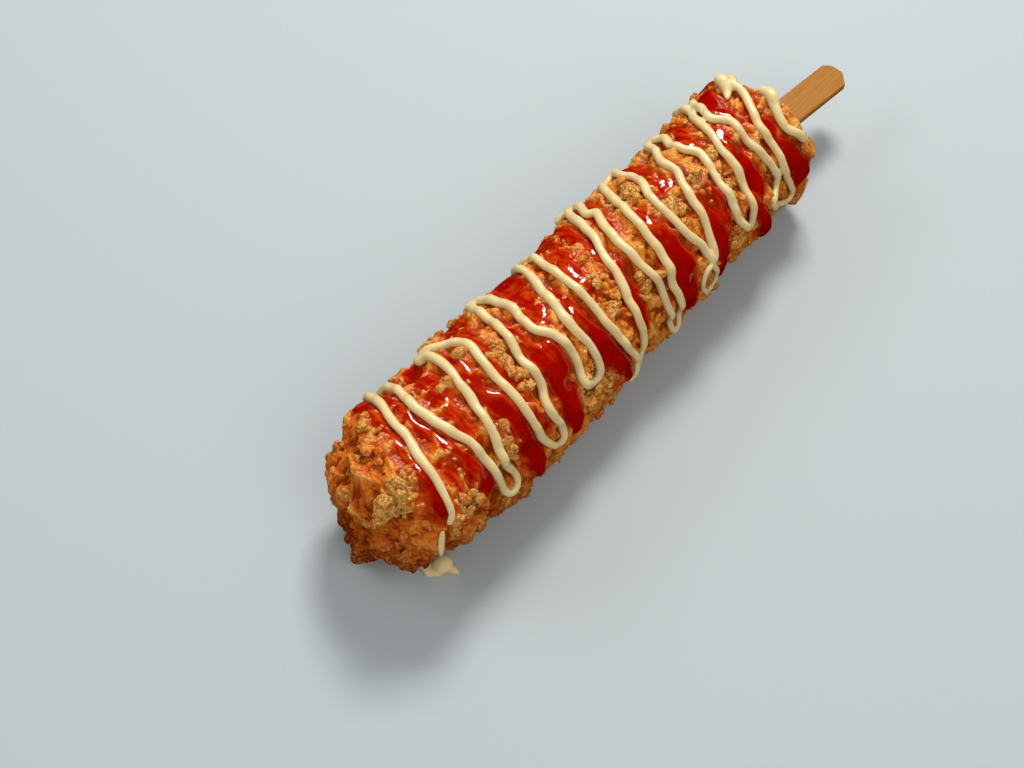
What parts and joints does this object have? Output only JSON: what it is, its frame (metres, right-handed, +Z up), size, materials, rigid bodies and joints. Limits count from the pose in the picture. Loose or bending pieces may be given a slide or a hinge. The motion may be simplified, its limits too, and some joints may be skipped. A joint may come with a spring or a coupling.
{
  "type": "corn dog",
  "caption": "Battered and deep-fried sausage on a flat wooden stick, lying on its side under zigzags of red sauce and pale cream sauce.",
  "frame": {"origin": "below the middle of the bounding box, on the plane that the corn dog lies on", "axes": "+X along the body from the rounded end to the stick, +Y towards the far long side, +Z up with the sauced side on top"},
  "size_m": [0.2317, 0.0477, 0.0457],
  "materials": {
    "crust": "craggy golden-brown fried batter, slightly oily",
    "red_sauce": "wet, glossy, slightly see-through red sauce",
    "cream_sauce": "smooth thick pale cream sauce, softly glossy",
    "stick_wood": "raw pale wood, matt, with fine grain along its length"
  },
  "bodies": {
    "root": {"corn_dog": "crust", "stick": "stick_wood"}
  },
  "joints": []
}
